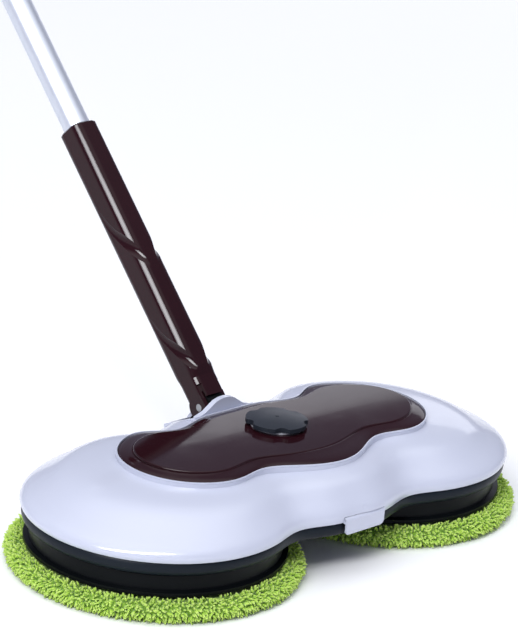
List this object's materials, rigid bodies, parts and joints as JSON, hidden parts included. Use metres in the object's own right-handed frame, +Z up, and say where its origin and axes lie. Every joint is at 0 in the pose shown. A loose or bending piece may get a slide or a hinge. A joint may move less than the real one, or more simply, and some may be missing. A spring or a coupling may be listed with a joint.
{
  "type": "twin-disc floor sweeper",
  "caption": "Floor sweeper with a lobed head on two counter-rotating chenille pad discs and a jointed telescopic pole.",
  "frame": {"origin": "on the floor, midway between the centres of the two pads", "axes": "+X to the right along the head, +Y to the back, where the pole leans, +Z up"},
  "size_m": [0.4625, 0.9212, 0.84],
  "materials": {
    "shell_white": "gloss",
    "maroon_gloss": "gloss",
    "knob_slate": "satin",
    "seat_grey": "satin",
    "skirt_slate": "satin",
    "black_plastic": "satin",
    "hook_tape": "matte",
    "chenille": "matte",
    "case_grey": "satin",
    "gear_acetal": "satin",
    "steel": "satin",
    "bronze": "satin",
    "gearhead_zinc": "satin",
    "cell_wrap": "gloss",
    "board_green": "satin",
    "socket_black": "satin",
    "rocker_black": "gloss",
    "tube_aluminium": "satin",
    "bush_plastic": "satin"
  },
  "bodies": {
    "head": {"top_shell": "shell_white", "chassis": "skirt_slate", "gearcase_lid": "case_grey", "spindle_bush_left": "bronze", "spindle_bush_right": "bronze", "idler_axle_left": "steel", "idler_axle_right": "steel", "gearhead": "gearhead_zinc", "motor": "steel", "battery_cells": "cell_wrap", "battery_tray": "black_plastic", "control_board": "board_green", "charge_socket": "socket_black", "switch_housing": "black_plastic", "pivot_bracket": "shell_white", "swing_pin": "steel", "latch_pin": "steel", "shell_screws": "steel", "bracket_screws": "steel"},
    "disc_drive_left": {"disc_left": "black_plastic", "hook_left": "hook_tape", "pad_left": "chenille", "spindle_left": "steel", "output_gear_left": "gear_acetal", "disc_screw_left": "steel"},
    "disc_drive_right": {"disc_right": "black_plastic", "hook_right": "hook_tape", "pad_right": "chenille", "spindle_right": "steel", "output_gear_right": "gear_acetal", "disc_screw_right": "steel"},
    "idler_left": {"idler_gear_left": "gear_acetal"},
    "idler_right": {"idler_gear_right": "gear_acetal"},
    "drive": {"pinion": "gear_acetal", "drive_shaft": "steel"},
    "cover": {"top_cover": "maroon_gloss", "knob_seat": "seat_grey"},
    "knob": {"star_knob": "knob_slate", "cover_stud": "steel"},
    "latch": {"front_latch": "shell_white"},
    "rocker": {"power_rocker": "rocker_black"},
    "knuckle": {"knuckle": "black_plastic"},
    "neck": {"neck_front": "maroon_gloss", "neck_rear": "maroon_gloss", "neck_screws": "steel", "tilt_pin": "steel", "lower_tube": "tube_aluminium"},
    "collar": {"lock_collar": "black_plastic"},
    "upper_pole": {"upper_tube": "tube_aluminium", "slide_bush": "bush_plastic", "grip": "maroon_gloss", "hang_cap": "black_plastic"}
  },
  "joints": [
    {"name": "disc_left_spin", "type": "hinge", "parent": "head", "child": "disc_drive_left", "pos_m": [-0.11925, 0, 0.02], "axis": [0, 0, 1], "continuous": true},
    {"name": "disc_right_spin", "type": "hinge", "parent": "head", "child": "disc_drive_right", "pos_m": [0.11925, 0, 0.02], "axis": [0, 0, 1], "continuous": true},
    {"name": "idler_left_spin", "type": "hinge", "parent": "head", "child": "idler_left", "pos_m": [-0.03975, 0, 0.044], "axis": [0, 0, 1], "continuous": true},
    {"name": "idler_right_spin", "type": "hinge", "parent": "head", "child": "idler_right", "pos_m": [0.03975, 0, 0.044], "axis": [0, 0, 1], "continuous": true},
    {"name": "pinion_spin", "type": "hinge", "parent": "head", "child": "drive", "pos_m": [-0.00552, -0.04079, 0.044], "axis": [0, 0, 1], "continuous": true},
    {"name": "cover_lift", "type": "slide", "parent": "head", "child": "cover", "axis": [0, 0, 1], "range_m": [0, 0.06]},
    {"name": "knob_turn", "type": "hinge", "parent": "cover", "child": "knob", "pos_m": [0, 0, 0.086], "axis": [0, 0, 1], "continuous": true},
    {"name": "latch_flip", "type": "hinge", "parent": "head", "child": "latch", "pos_m": [0, -0.0988, 0.0456], "axis": [-1, 0, 0], "range_deg": [0, 75]},
    {"name": "power_rock", "type": "hinge", "parent": "head", "child": "rocker", "pos_m": [0.026, 0.0955, 0.04], "axis": [0, 0, 1], "range_deg": [0, 16]},
    {"name": "neck_swing", "type": "hinge", "parent": "head", "child": "knuckle", "pos_m": [0, 0.072, 0.058], "axis": [0, 1, 0], "range_deg": [-30, 30]},
    {"name": "neck_tilt", "type": "hinge", "parent": "knuckle", "child": "neck", "pos_m": [0, 0.072, 0.077], "axis": [1, 0, 0], "range_deg": [-28, 44]},
    {"name": "collar_twist", "type": "hinge", "parent": "neck", "child": "collar", "pos_m": [0, 0.50269, 0.52299], "axis": [0, 0.6947, 0.7193], "range_deg": [0, 90]},
    {"name": "pole_slide", "type": "slide", "parent": "neck", "child": "upper_pole", "axis": [0, 0.6947, 0.7193], "range_m": [-0.225, 0]}
  ],
  "couplings": [
    {"joint": "idler_left_spin", "follows": "disc_left_spin", "ratio": -1},
    {"joint": "idler_right_spin", "follows": "disc_left_spin", "ratio": 1},
    {"joint": "disc_right_spin", "follows": "disc_left_spin", "ratio": -1},
    {"joint": "pinion_spin", "follows": "disc_left_spin", "ratio": 2.9444}
  ]
}
